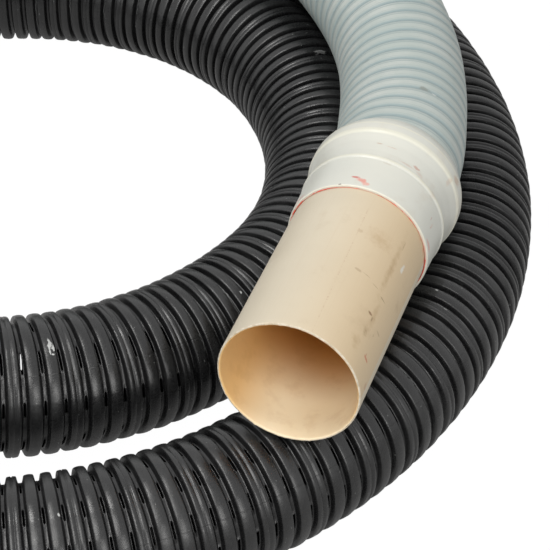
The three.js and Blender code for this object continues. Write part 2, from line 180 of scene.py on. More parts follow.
class Route:
    """A curve by arc length, with a level side vector and an upright one at each point."""

    def __init__(self, line):
        along = np.r_[0, np.cumsum(np.linalg.norm(np.diff(line, axis=0), axis=1))]
        self.length = float(along[-1])
        self.fine = np.linspace(0, self.length, int(self.length / ROUTE_STEP) + 1)
        self.points = np.column_stack([np.interp(self.fine, along, line[:, k]) for k in range(3)])
        tangent = np.gradient(self.points, axis=0)
        self.tangents = tangent / np.linalg.norm(tangent, axis=1)[:, None]

    def at(self, s):
        p = np.column_stack([np.interp(s, self.fine, self.points[:, k]) for k in range(3)])
        t = np.column_stack([np.interp(s, self.fine, self.tangents[:, k]) for k in range(3)])
        t /= np.linalg.norm(t, axis=1)[:, None]
        side = np.cross(t, UP)
        side /= np.linalg.norm(side, axis=1)[:, None]
        return p, t, side, np.cross(side, t)


black_route = Route(black_line)
grey_route = Route(grey_line)

# ---------------------------------------------------------------- meshes

MARK_R = 57.2  # mm, the radius at which the swivel end's angles are turned into lengths


def link(name, mesh, body):
    made = bpy.data.objects.new(name, mesh)
    bpy.context.scene.collection.objects.link(made)
    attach(made, body)
    return made


def quad_mesh(name, points_mm, quads, uv=None, material=None):
    """A smooth-shaded mesh of quads. uv has one pair for each corner of each quad."""
    mesh = bpy.data.meshes.new(name)
    mesh.vertices.add(len(points_mm))
    mesh.vertices.foreach_set("co", (points_mm * MM).astype(np.float32).ravel())
    mesh.loops.add(4 * len(quads))
    mesh.loops.foreach_set("vertex_index", quads.astype(np.int32).ravel())
    mesh.polygons.add(len(quads))
    mesh.polygons.foreach_set("loop_start", np.arange(0, 4 * len(quads), 4, dtype=np.int32))
    if uv is not None:
        layer = mesh.uv_layers.new(name="UVMap")
        layer.data.foreach_set("uv", uv.astype(np.float32).ravel())
    mesh.update(calc_edges=True)
    mesh.validate()
    mesh.polygons.foreach_set("use_smooth", np.ones(len(mesh.polygons), bool))
    if material:
        mesh.materials.append(material)
    return mesh


def ring_quads(rings, columns, flip=False, base=0):
    """Quads between rings that close on themselves, and the ring and column that each one starts from."""
    i, k = np.meshgrid(np.arange(rings - 1), np.arange(columns), indexing="ij")
    n = (k + 1) % columns
    a, b, c, d = i * columns + k, (i + 1) * columns + k, (i + 1) * columns + n, i * columns + n
    order = (a, d, c, b) if flip else (a, b, c, d)
    return np.stack(order, axis=-1) + base, i, k


def end_caps(columns, rings, bore_rings):
    """Quads that close the wall at both ends of a hose whose bore's rings come after its outer ones."""
    base = rings * columns
    col = np.arange(columns)
    nxt = (col + 1) % columns
    start = np.stack([col, nxt, base + nxt, base + col], -1)
    e, f = base - columns, base + (bore_rings - 1) * columns
    end = np.stack([e + nxt, e + col, f + col, f + nxt], -1)
    return start, end


def lathe(name, profile, segments, material=None, angle=40):
    """Turns a closed profile of (distance from the mouth, radius) in mm round the swivel axis."""
    return turned_on(name, profile, segments, material, AXIS_START + COIL_CENTRE, AXIS, angle)


def turned_on(name, profile, segments, material, origin, axis, angle=40):
    """Turns a closed profile round any axis. Edges sharper than the angle, in degrees, stay sharp."""
    profile = np.array(profile, float)
    x = unit(np.cross(axis, UP))
    z = np.cross(x, axis)
    around = np.linspace(0, 2 * math.pi, segments, endpoint=False)
    spokes = np.cos(around)[:, None] * x + np.sin(around)[:, None] * z
    points = origin + profile[:, 0, None, None] * axis + profile[:, 1, None, None] * spokes
    rows = len(profile)
    i, k = np.meshgrid(np.arange(rows), np.arange(segments), indexing="ij")
    j, n = (i + 1) % rows, (k + 1) % segments
    quads = np.stack([i * segments + k, i * segments + n, j * segments + n, j * segments + k], axis=-1)
    s = profile[:, 0] * MM
    v = MARK_R * MM * 2 * math.pi / segments
    corners = ((i, k), (i, k + 1), (j, k + 1), (j, k))
    uv = np.stack([np.stack([s[a], b * v], -1) for a, b in corners], axis=2)
    mesh = quad_mesh(name, points.reshape(-1, 3), quads.reshape(-1, 4), uv.reshape(-1, 2), material)
    mesh.set_sharp_from_angle(angle=math.radians(angle))
    return mesh


def rounded(profile, radii):
    """A closed profile with each corner replaced by an arc. radii is one size, or a list of sizes."""
    points = [np.array(p, float) for p in profile]
    n = len(points)
    sizes = [radii] * n if isinstance(radii, (int, float)) else list(radii)
    out = []
    for i, p in enumerate(points):
        before, after = points[i - 1] - p, points[(i + 1) % n] - p
        la, lb = np.linalg.norm(before), np.linalg.norm(after)
        r = min(sizes[i], 0.45 * la, 0.45 * lb)
        if r < 0.02:
            out.append(p)
            continue
        a, b = p + before / la * r, p + after / lb * r
        for u in (0.0, 0.25, 0.5, 0.75, 1.0):
            out.append((1 - u) ** 2 * a + 2 * u * (1 - u) * p + u * u * b)
    return out


# ---------------------------------------------------------------- shader helpers


def linear(code):
    """A colour written as six hex digits, as linear values."""
    channels = [int(code[i : i + 2], 16) / 255 for i in (0, 2, 4)]
    return tuple(c / 12.92 if c <= 0.04045 else ((c + 0.055) / 1.055) ** 2.4 for c in channels) + (1.0,)


BROAD_MARK, BROAD_EDGE = 7.5, 1.3  # mm along, and how far such a mark fades inwards


class Nodes:
    """A material's node tree, with short calls for the nodes it needs."""

    def __init__(self, name):
        self.material = bpy.data.materials.new(name)
        self.material.use_nodes = True
        self.tree = self.material.node_tree
        self.shader = self.tree.nodes["Principled BSDF"]

    def new(self, kind, **settings):
        node = self.tree.nodes.new(kind)
        for key, value in settings.items():
            setattr(node, key, value)
        return node

    def join(self, source, target):
        self.tree.links.new(source, target)

    def feed(self, value, socket):
        if isinstance(value, (int, float, tuple)):
            socket.default_value = value
        else:
            self.join(value, socket)

    def uv(self):
        texture = self.new("ShaderNodeUVMap", uv_map="UVMap")
        split = self.new("ShaderNodeSeparateXYZ")
        self.join(texture.outputs[0], split.inputs[0])
        return split.outputs[0], split.outputs[1]

    def math(self, operation, a, b=0.0, c=0.0):
        node = self.new("ShaderNodeMath", operation=operation)
        for value, socket in zip((a, b, c), node.inputs):
            self.feed(value, socket)
        return node.outputs[0]

    def vector(self, x, y):
        node = self.new("ShaderNodeCombineXYZ")
        for value, socket in zip((x, y), node.inputs):
            self.feed(value, socket)
        return node.outputs[0]

    def scaled(self, ways, first, second):
        """A flat place for a texture, its two ways stretched apart."""
        return self.vector(self.math("MULTIPLY", ways[0], first), self.math("MULTIPLY", ways[1], second))

    def noise(self, where, scale, detail, rough):
        node = self.new("ShaderNodeTexNoise")
        self.join(where, node.inputs["Vector"])
        node.inputs["Scale"].default_value = scale
        node.inputs["Detail"].default_value = detail
        node.inputs["Roughness"].default_value = rough
        node.inputs["Distortion"].default_value = 0.0
        return node.outputs[0]

    def ramp(self, value, low, high, out_low=0.0, out_high=1.0):
        node = self.new("ShaderNodeMapRange", interpolation_type="SMOOTHSTEP")
        self.feed(value, node.inputs[0])
        for i, number in enumerate((low, high, out_low, out_high)):
            node.inputs[i + 1].default_value = number
        return node.outputs[0]

    def mix(self, factor, a, b):
        node = self.new("ShaderNodeMix", data_type="RGBA")
        for value, index in ((factor, 0), (a, 6), (b, 7)):
            self.feed(value, node.inputs[index])
        return node.outputs[2]

    def tint(self, colour, code, mask, share):
        """The colour with a share of another one where the mask says so."""
        return self.mix(self.math("MULTIPLY", mask, share), colour, linear(code))

    def place(self):
        return self.new("ShaderNodeTexCoord").outputs["Object"]

    def bump(self, height, strength, distance):
        node = self.new("ShaderNodeBump")
        node.inputs["Strength"].default_value = strength
        node.inputs["Distance"].default_value = distance
        self.join(height, node.inputs["Height"])
        return node.outputs[0]

    def spot(self, uv, at, size, wander, edge):
        """A soft patch at a place on the surface: 1 inside, 0 outside, its outline moved by wander."""
        du, dv = (
            self.math("DIVIDE", self.math("SUBTRACT", way, middle), half)
            for way, middle, half in zip(uv, at, size)
        )
        square = self.math("ADD", self.math("MULTIPLY", du, du), self.math("MULTIPLY", dv, dv))
        far = self.math("ADD", self.math("SQRT", square), wander)
        return self.ramp(far, 1.0, 1.0 - edge)

    def marks(self, colour, uv, marks, radius, wander, edge):
        """The colour with soft marks on it, those longer than BROAD_MARK softer than the others."""
        for s, angle, half_along, half_around, share, code in marks:
            at = (s * MM, math.radians(angle) * radius)
            soft = BROAD_EDGE if half_along > BROAD_MARK else edge
            spot = self.spot(uv, at, (half_along * MM, half_around * MM), wander, soft)
            colour = self.tint(colour, code, spot, share)
        return colour

    def painted(self, colour):
        self.join(colour, self.shader.inputs["Base Color"])
        return self.material


# ---------------------------------------------------------------- black corrugated hose

BLACK_RIBS = 318
# mm along the hose, and ribs counted from the coupling: they open up and close a little on the way
RIB_MARKS = np.array([
    (0, 0), (877, 61), (979, 68), (1098, 76), (1174, 81), (1205, 83), (1253, 86), (1345.5, 92),
    (1405.5, 96), (1449.5, 99), (1523.5, 104), (1596, 109), (1699.5, 116), (3529.4, 244), (3573, 247),
    (3661, 253), (3749.5, 259.5), (3816.5, 264.5), (3886, 269.5), (3982, 276.5), (4079.5, 283.5),
    (4166, 289.5), (4212.5, 292.5), (4257.5, 295.5), (black_route.length, BLACK_RIBS),
])
BLACK_PITCH = black_route.length / BLACK_RIBS
VALLEY_R = 52.5
VALLEY_HALF = 0.055  # of a rib's pitch: half of a valley's flat floor
WALL = 1.3
COLUMNS = 80
# place along one rib, from the middle of a valley, and radius
OUTER_RINGS = [
    (-VALLEY_HALF, VALLEY_R), (VALLEY_HALF, VALLEY_R), (0.108, 52.7), (0.138, 53.9), (0.190, 56.8),
    (0.210, 57.6), (0.236, 57.95), (0.285, 58.14), (0.370, 58.37), (0.470, 58.5), (0.530, 58.5),
    (0.630, 58.37), (0.715, 58.14), (0.764, 57.95), (0.790, 57.6), (0.810, 56.8), (0.862, 53.9),
    (0.892, 52.7),
]
# every third rib has a groove on its crest, where two mould blocks met
CREST_GROOVE = [(0.440, 58.35), (0.480, 57.6), (0.520, 57.6), (0.560, 58.35)]
SPLIT_RINGS = OUTER_RINGS[:8] + CREST_GROOVE + OUTER_RINGS[12:]
INNER_RINGS = [
    (-VALLEY_HALF, VALLEY_R - WALL), (VALLEY_HALF, VALLEY_R - WALL), (0.3, 56.2), (0.7, 56.2),
]
SLOT_SWAP = 2350.0  # mm along the hose, where the slots go from ten rows to eight
SWAP_LENGTH = 90  # mm that the swap takes
SWAP_FREE = 60  # mm on either side of it without slots
FIRST_SLOT = 75.0  # degrees, the middle of one row of slots
TWIST_AT, TWIST_REACH = 3585, (-200, 150)  # mm along: rows and seam twist on the second turn
# a slot and the land after it, in degrees from the slot's middle
TEN_ROW = np.array([-8, -6.8, 0, 6.8, 8, 13.5, 18.5, 23.5])
EIGHT_ROW = np.array([-10.5, -9.3, -3.1, 3.1, 9.3, 10.5, 16, 21, 26, 30.5])
SHORT_SLOT = np.array([-4.5, -3.3, 0.4, 4.2, 8.8, 10.0])  # the last of the eight rows
SLOTTED_RIBS = ((0, 83), (190, 253))
SLOTTED_ANGLES = ((-60, 150), (-60, 80))
LIT_RIB, LIT_REACH = 246, 270  # the far slots of this valley let daylight through


def rib_place(ribs):
    return np.interp(ribs, RIB_MARKS[:, 1], RIB_MARKS[:, 0])


def rib_count(s):
    return np.interp(s, RIB_MARKS[:, 0], RIB_MARKS[:, 1])


def twisted(s, early, late, twist):
    """An angle that is fixed on the first turn and drifts a little along the second."""
    return np.where(s < SLOT_SWAP, early, late - twist * np.clip(s - TWIST_AT, *TWIST_REACH))


def slot_base(s):
    return twisted(s, FIRST_SLOT, 61, 0.04)


def seam_angle(s):
    return twisted(s, 35.0, 48, 0.02)


def black_columns(s):
    """The angles of a ring's points, which go from ten rows of slots to eight."""
    ten = np.concatenate([36 * j + TEN_ROW for j in range(10)])
    eight = [45 * j + EIGHT_ROW for j in range(8)]
    eight[7][: len(SHORT_SLOT)] = 315 + SHORT_SLOT
    eight = np.concatenate(eight)
    late = np.clip((s - SLOT_SWAP + SWAP_LENGTH / 2) / SWAP_LENGTH, 0, 1)[:, None]
    base = (1 - late) * FIRST_SLOT + late * slot_base(np.maximum(s, SLOT_SWAP))[:, None]
    return base + (1 - late) * ten + late * eight


def open_columns(s, angles):
    """Which columns of a valley's middle cells are slots."""
    is_open = np.zeros((len(s), COLUMNS), bool)
    ribs = rib_count(s)
    slotted = np.zeros(len(s), bool)
    for first, last in SLOTTED_RIBS:
        slotted |= (ribs > first - 0.5) & (ribs < last + 0.5)
    for row in np.nonzero(slotted & (np.abs(s - SLOT_SWAP) > SWAP_FREE))[0]:
        low, high = SLOTTED_ANGLES[int(s[row] > SLOT_SWAP)]
        reach = LIT_REACH if abs(ribs[row] - LIT_RIB) < 0.2 else high - low
        step, cells = (8, 4) if s[row] < SLOT_SWAP else (10, 5)
        for first in range(0, COLUMNS, step):
            middle = (angles[row, first : first + cells + 1].mean() - low) % 360
            is_open[row, first : first + cells] = middle < reach
    return is_open


def hose_rings(route, s, radius, angles, shift=None):
    """Points of rings round a route, each moved along the route by its shift."""
    centre, tangent, side, up = route.at(s)
    a = np.radians(angles)
    spokes = side[:, None] * np.cos(a)[..., None] + up[:, None] * np.sin(a)[..., None]
    points = centre[:, None] + spokes * radius[..., None]
    if shift is not None:
        points = points + tangent[:, None] * shift[..., None]
    return points


def ring_places(ribs, rings, split):
    """Ring places, radii and kinds along a hose that starts and ends in the middle of a valley."""
    tables = np.array([rings, split])
    which = (np.arange(ribs) % 3 == 1).astype(int)
    places = (np.arange(ribs)[:, None] + tables[which, :, 0]).ravel()
    radii = tables[which, :, 1].ravel()
    keep = (places > 0.0) & (places < ribs)
    kinds = np.tile(np.arange(len(rings)), ribs)[keep]
    places, radii = places[keep], radii[keep]
    places = np.concatenate([[0.0], places, [ribs]])
    radii = np.concatenate([[rings[1][1]], radii, [rings[1][1]]])
    kinds = np.concatenate([[-1], kinds, [-1]])
    return places, radii, kinds


def make_black_hose(material):
    rng = np.random.default_rng(7)
    # each rib is a little higher or lower and leans a little, in mm
    lift = rng.normal(0, 0.10, BLACK_RIBS + 1)
    lean = rng.normal(0, 0.22, (BLACK_RIBS + 1, 2))

    def surface(rings, split):
        places, radii, kinds = ring_places(BLACK_RIBS, rings, split)
        s = rib_place(places)
        rib = np.clip(np.floor(places).astype(int), 0, BLACK_RIBS)
        angles = black_columns(s)
        crest = np.clip((radii - VALLEY_R) / (BLACK_R - VALLEY_R), 0, 1)[:, None]
        radius = radii[:, None] + crest * lift[rib][:, None] + np.zeros(angles.shape)
        a = np.radians(angles)
        tilt = lean[rib, 0][:, None] * np.cos(a) + lean[rib, 1][:, None] * np.sin(a)
        tip = np.zeros(angles.shape)  # a slot's ends are drawn in
        slots = open_columns(s, angles)
        for row in np.nonzero(kinds <= 1)[0]:
            if kinds[row] < 0:
                continue
            toward = 0.5 * VALLEY_HALF * BLACK_PITCH * (1 if kinds[row] == 0 else -1)
            starts = np.nonzero(slots[row] & ~np.roll(slots[row], 1))[0]
            ends = np.nonzero(~slots[row] & np.roll(slots[row], 1))[0]
            tip[row, starts] = toward
            tip[row, ends] = toward
        points = hose_rings(black_route, s, radius, angles, tilt * crest + tip)
        return s, places, kinds, angles, slots, points

    s, places, kinds, angles, slots, outer = surface(OUTER_RINGS, SPLIT_RINGS)
    _, _, kinds_in, _, slots_in, inner = surface(INNER_RINGS, INNER_RINGS)
    rings_out, rings_in = len(kinds), len(kinds_in)
    base = rings_out * COLUMNS

    outer_quads, i, k = ring_quads(rings_out, COLUMNS)
    inner_quads, ii, ki = ring_quads(rings_in, COLUMNS, flip=True, base=base)
    is_slot = (kinds[i] == 0) & (kinds[i + 1] == 1) & slots[i, k]
    is_slot_in = (kinds_in[ii] == 0) & (kinds_in[ii + 1] == 1) & slots_in[ii, ki]

    columns_full = np.concatenate([angles, angles[:, :1] + 360], axis=1)
    seam = seam_angle(s)[:, None]
    v = np.radians(columns_full - seam) * BLACK_R * MM
    u = places * BLACK_PITCH * MM
    corners = ((i, k), (i + 1, k), (i + 1, k + 1), (i, k + 1))
    uv_out = np.stack([np.stack([u[a], v[a, b]], -1) for a, b in corners], axis=2)
    uv_in = np.zeros(inner_quads.shape + (2,))

    # the cut edges of each slot, from the outer to the inner wall
    first_out = np.nonzero(kinds == 0)[0]
    first_in = np.nonzero(kinds_in == 0)[0]
    cut = []
    for a, b in zip(first_out, first_in):
        if kinds[a + 1] != 1 or kinds_in[b + 1] != 1:
            continue
        for col in np.nonzero(slots[a])[0]:
            n = (col + 1) % COLUMNS
            o = [a * COLUMNS + col, a * COLUMNS + n, (a + 1) * COLUMNS + n, (a + 1) * COLUMNS + col]
            p = [base + b * COLUMNS + col, base + b * COLUMNS + n]
            p += [base + (b + 1) * COLUMNS + n, base + (b + 1) * COLUMNS + col]
            cut.append([o[0], o[1], p[1], p[0]])
            cut.append([o[2], o[3], p[3], p[2]])
            if not slots[a][(col - 1) % COLUMNS]:
                cut.append([o[3], o[0], p[0], p[3]])
            if not slots[a][n]:
                cut.append([o[1], o[2], p[2], p[1]])
    cut = np.array(cut)
    uv_cut = np.zeros(cut.shape + (2,))

    start, end = end_caps(COLUMNS, rings_out, rings_in)
    uv_caps = np.zeros((2 * COLUMNS, 4, 2))
    quads = np.concatenate([outer_quads[~is_slot], inner_quads[~is_slot_in], cut, start, end])
    uv = np.concatenate([uv_out[~is_slot], uv_in[~is_slot_in], uv_cut, uv_caps])
    points = np.concatenate([outer.reshape(-1, 3), inner.reshape(-1, 3)])
    mesh = quad_mesh("black_hose_skin", points, quads, uv, material)
    return link("corrugated_hose", mesh, "hose_line")


# marks: place along (mm) and around (degrees), half sizes in the same order (mm), share; the other
# tables of marks add a colour
BLACK_SCUFFS = (
    (3566.6, 74.5, 1.8, 4.6, 0.8), (3569.0, 71.0, 0.9, 3.6, 0.9), (3565.8, 69.0, 0.7, 4.2, 0.85),
    (3568.0, 64.8, 1.3, 1.0, 0.9), (3738, 64, 0.9, 1.8, 0.95), (1312, 84, 2.6, 1.6, 0.8),
    (1326, 67, 1.0, 1.4, 0.7), (1296, 70, 1.0, 2.6, 0.6), (1519, 54, 1.8, 1.0, 0.85),
    (1602, -22, 1.2, 1.2, 0.6), (917, 71, 1.0, 1.6, 0.85), (918, 60, 0.7, 0.9, 0.7),
    (902, 64, 0.7, 1.8, 0.7), (4090, 78, 1.0, 8.0, 0.22), (1050, 66, 1.2, 2.0, 0.5),
)


def black_material():
    m = Nodes("black_hose_plastic")
    u, v = m.uv()
    ribs = m.math("DIVIDE", u, BLACK_PITCH * MM)
    from_crest = m.math("ABSOLUTE", m.math("SUBTRACT", m.math("FRACT", ribs), 0.5))
    crest = m.ramp(from_crest, 0.345, 0.30)
    streaks = m.noise(m.scaled((u, v), 1500, 34), 1.0, 3, 0.6)
    slanted = m.math("ADD", u, v), m.math("SUBTRACT", u, v)
    hatch = m.noise(m.scaled(slanted, 240, 1300), 1.0, 2, 0.5)
    grain = m.noise(m.place(), 900, 3, 0.6)
    patches = m.noise(m.place(), 26, 3, 0.55)
    wander = m.math("SUBTRACT", m.noise(m.place(), 240, 3, 0.6), 0.5)
    rubbed = m.ramp(m.math("ADD", hatch, m.math("MULTIPLY", patches, 0.5)), 0.6, 1.0)
    worn = m.math("MULTIPLY", crest, rubbed)
    # the valleys are painted a little darker than the crests: painted shade in the recesses
    colour = m.mix(crest, linear("101011"), linear("161617"))
    colour = m.tint(colour, "303131", worn, 0.5)
    colour = m.tint(colour, "2A2B2B", m.ramp(streaks, 0.5, 0.7), 0.55)
    colour = m.tint(colour, "2C2C2C", m.ramp(patches, 0.45, 0.75), 0.2)
    # parting line of the mould, on both sides
    half = m.math("FRACT", m.math("ADD", m.math("DIVIDE", v, math.pi * BLACK_R * MM), 0.5))
    seam = m.ramp(m.math("ABSOLUTE", m.math("SUBTRACT", half, 0.5)), 0.0034, 0.0012)
    colour = m.tint(colour, "0A0A0A", seam, 0.5)
    # wavy flash in every third valley, where the valleys have no slots
    third = m.math("FRACT", m.math("ADD", m.math("DIVIDE", ribs, 3.0), 0.5))
    from_valley = m.math("MULTIPLY_ADD", third, 3.0, -1.5)
    sway = m.noise(m.scaled((v, u), 75, 30), 1.0, 2, 0.5)
    off_line = m.math("ABSOLUTE", m.math("SUBTRACT", from_valley, m.math("MULTIPLY_ADD", sway, 0.5, -0.25)))
    flash = m.math("MULTIPLY", m.ramp(off_line, 0.034, 0.010), m.ramp(from_crest, 0.33, 0.36))
    plain = m.math("SUBTRACT", m.ramp(ribs, 82.6, 83.4), m.ramp(ribs, 189, 191))
    flash = m.math("MULTIPLY", flash, m.math("ADD", plain, m.ramp(ribs, 252.6, 253.4)))
    colour = m.tint(colour, "7C7E7E", flash, 0.55)
    # pale scuffs and specks
    speck = m.ramp(m.noise(m.place(), 420, 1, 0.3), 0.775, 0.81)
    colour = m.tint(colour, "9A9C9B", m.math("MULTIPLY", speck, crest), 0.4)
    scuffs = [
        (float(rib_count(s)) * BLACK_PITCH, angle - float(seam_angle(s)), *rest, "C4C6C5")
        for s, angle, *rest in BLACK_SCUFFS
    ]
    colour = m.marks(colour, (u, v), scuffs, BLACK_R * MM, m.math("MULTIPLY", wander, 3.0), 0.4)
    m.painted(colour)
    speckle = m.math("ADD", m.math("MULTIPLY", hatch, 0.5), m.math("MULTIPLY", grain, 0.5))
    rough = m.ramp(m.math("ADD", speckle, m.math("MULTIPLY", patches, 0.5)), 0.5, 1.0, 0.22, 0.40)
    m.join(rough, m.shader.inputs["Roughness"])
    # the outer turn is duller
    dull = m.math("SUBTRACT", m.ramp(ribs, 88, 98), m.ramp(ribs, 178, 188))
    m.join(m.math("MULTIPLY_ADD", dull, -0.28, 0.52), m.shader.inputs["Specular IOR Level"])
    fine = m.math("ADD", m.math("MULTIPLY", hatch, 0.5), m.math("MULTIPLY", grain, 0.35))
    fine = m.math("ADD", fine, m.math("MULTIPLY", streaks, 0.25))
    height = m.math("SUBTRACT", fine, m.math("MULTIPLY", seam, 0.8))
    height = m.math("MULTIPLY_ADD", flash, 0.8, height)
    m.join(m.bump(height, 0.4, 0.0003), m.shader.inputs["Normal"])
    return m.material


black = make_black_hose(black_material())
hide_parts("black_hose")

# ---------------------------------------------------------------- grey spiral hose

GREY_PITCH = 15.5
GREY_COLUMNS = 96
GREY_STEP = 1.25  # mm between rings
GREY_BORE_R = 50.5
GREY_BORE_RINGS = 220


def grey_profile(phase):
    """Radius added by the spiral rib: a shallow groove where the soft web lies, and a faint second line."""
    x = phase % 1.0
    groove = np.exp(-(((x - 0.5) / 0.11) ** 2))
    fine = np.exp(-(((x - 0.23) / 0.035) ** 2))
    return -1.05 * groove - 0.16 * fine


def make_grey_hose(material):
    rings = int(round(grey_route.length / GREY_STEP)) + 1
    s = np.linspace(0, grey_route.length, rings)
    angles = np.tile(np.arange(GREY_COLUMNS) * 360 / GREY_COLUMNS - 90, (rings, 1))
    turns = (np.arange(GREY_COLUMNS) / GREY_COLUMNS)[None]
    radius = GREY_R + grey_profile(s[:, None] / GREY_PITCH + turns)
    outer = hose_rings(grey_route, s, radius, angles)
    bore_s = np.linspace(0, grey_route.length, GREY_BORE_RINGS)
    bore_angles = np.tile(angles[0], (GREY_BORE_RINGS, 1))
    bore = hose_rings(grey_route, bore_s, np.full(bore_angles.shape, GREY_BORE_R), bore_angles)
    base = rings * GREY_COLUMNS
    outer_quads, i, k = ring_quads(rings, GREY_COLUMNS)
    inner_quads, ii, ki = ring_quads(GREY_BORE_RINGS, GREY_COLUMNS, flip=True, base=base)
    turn = 2 * math.pi * GREY_R * MM / GREY_COLUMNS

    def corners(s_at, i, k):
        pairs = ((i, k), (i + 1, k), (i + 1, k + 1), (i, k + 1))
        return np.stack([np.stack([s_at[a] * MM, b * turn], -1) for a, b in pairs], axis=2)

    start, end = end_caps(GREY_COLUMNS, rings, GREY_BORE_RINGS)
    uv_caps = np.zeros((2 * GREY_COLUMNS, 4, 2))
    flipped = corners(bore_s, ii, ki)[:, :, [0, 3, 2, 1]]
    quads = np.concatenate([outer_quads.reshape(-1, 4), inner_quads.reshape(-1, 4), start, end])
    uv = np.concatenate([corners(s, i, k).reshape(-1, 4, 2), flipped.reshape(-1, 4, 2), uv_caps])
    points = np.concatenate([outer.reshape(-1, 3), bore.reshape(-1, 3)])
    mesh = quad_mesh("spiral_hose_skin", points, quads, uv, material)
    return link("spiral_hose", mesh, "hose_line")


GREY_MARKS = (
    (95, 71, 2.4, 8.0, 0.7, "82857E"), (93, 62, 1.8, 3.4, 0.85, "E2E4E2"),
    (172, 45, 2.0, 10.0, 0.5, "8A877D"), (60, 99, 0.8, 1.0, 0.5, "7A807C"),
    (38, 112, 2.0, 4.0, 0.4, "96A09C"), (300, 62, 2.0, 6.0, 0.35, "8A9490"),
    (150, 128, 1.5, 7.0, 0.5, "6F7F80"), (420, 80, 3.0, 9.0, 0.3, "8A8F88"),
    (610, 95, 2.0, 12.0, 0.3, "8A8F88"),
)


def grey_material():
    m = Nodes("grey_hose_plastic")
    u, v = m.uv()
    once_round = m.math("DIVIDE", v, 2 * math.pi * GREY_R * MM)
    turns = m.math("ADD", m.math("DIVIDE", u, GREY_PITCH * MM), once_round)
    waver = m.math("MULTIPLY", m.math("SUBTRACT", m.noise(m.place(), 30, 2, 0.5), 0.5), 0.05)
    phase = m.math("FRACT", m.math("ADD", turns, waver))
    # the soft web between two turns of the rib, and two fine lines
    web = m.ramp(m.math("ABSOLUTE", m.math("SUBTRACT", phase, 0.5)), 0.27, 0.04)
    fine = m.ramp(m.math("ABSOLUTE", m.math("SUBTRACT", phase, 0.20)), 0.085, 0.02)
    fine_two = m.ramp(m.math("ABSOLUTE", m.math("SUBTRACT", phase, 0.76)), 0.07, 0.015)
    cloud = m.noise(m.place(), 22, 3, 0.55)
    streak = m.noise(m.scaled((turns, v), 46, 22), 1.0, 3, 0.6)
    colour = m.mix(m.ramp(cloud, 0.35, 0.68), linear("B4BDB9"), linear("C3C8C4"))
    colour = m.tint(colour, "A3B1AC", m.ramp(streak, 0.4, 0.75), 0.35)
    colour = m.tint(colour, "8A9C9F", web, 0.85)
    colour = m.tint(colour, "93A2A2", fine, 0.7)
    colour = m.tint(colour, "9DABA9", fine_two, 0.4)
    wander = m.math("SUBTRACT", m.noise(m.place(), 160, 3, 0.6), 0.5)
    marks = [(s, angle + 90, *rest) for s, angle, *rest in GREY_MARKS]
    colour = m.marks(colour, (u, v), marks, GREY_R * MM, m.math("MULTIPLY", wander, 2.4), 0.6)
    m.painted(colour)
    m.join(m.ramp(streak, 0.3, 0.8, 0.34, 0.5), m.shader.inputs["Roughness"])
    m.shader.inputs["Specular IOR Level"].default_value = 0.35
    m.join(m.bump(streak, 0.12, 0.0004), m.shader.inputs["Normal"])
    return m.material


grey = make_grey_hose(grey_material())
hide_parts("grey_hose")

# ---------------------------------------------------------------- swivel end

PIPE_R, PIPE_BORE_R = 57.15, 54.85
PIPE_INSERTED = 50
ROUND = 192  # points round the pipe, the cuff and the cement


def plastic(name, base, second, rough, scale=14.0, spec=0.4):
    """A moulded plastic with slow colour drift and fine grain."""
    m = Nodes(name)
    drift = m.noise(m.place(), scale, 4, 0.55)
    colour = m.mix(m.ramp(drift, 0.35, 0.68), linear(base), linear(second))
    grain = m.noise(m.place(), 800, 2, 0.5)
    m.join(m.ramp(grain, 0.3, 0.7, rough - 0.05, rough + 0.07), m.shader.inputs["Roughness"])
    m.shader.inputs["Specular IOR Level"].default_value = spec
    m.join(m.bump(grain, 0.10, 0.0003), m.shader.inputs["Normal"])
    return m, colour


CREAM_BANDS = ((0.0, 1.2), (41.2, 1.8), (73.5, 3.6), (84.0, 1.6))  # mm from the cuff's rim, half width
CUFF_MARKS = (
    (191, 96, 1.4, 3.4, 0.85, "C4554A"), (188, 91, 2.8, 5.0, 0.7, "DE7D6E"),
    (184.5, 86, 2.6, 4.4, 0.65, "E39A8C"), (239, 91, 0.9, 3.4, 0.5, "B58E70"),
    (238, 80, 0.7, 9.0, 0.35, "C3A186"), (230, 57, 1.8, 4.2, 0.6, "B98472"),
    (227, 64, 1.4, 8.0, 0.4, "C2A594"), (226, 52, 3.0, 4.0, 0.3, "BFA08A"),
    (260, 22, 5.0, 6.0, 0.6, "BFA48C"), (250, 27, 6.0, 3.0, 0.4, "C9B39E"),
    (222, 34, 5.0, 4.0, 0.3, "C6B3A4"), (203, 24, 4.0, 1.0, 0.55, "B5665C"),
    (197, 20, 2.0, 0.8, 0.5, "B5665C"), (180.6, 106, 0.7, 1.4, 0.7, "6F6258"),
    (217, 78, 1.0, 5.0, 0.25, "B8A48E"), (184, 150, 2.4, 9.0, 0.5, "D98479"),
    (184, 12, 2.4, 9.0, 0.5, "D98479"), (199, 20, 5.0, 2.0, 0.3, "CFA08F"),
)
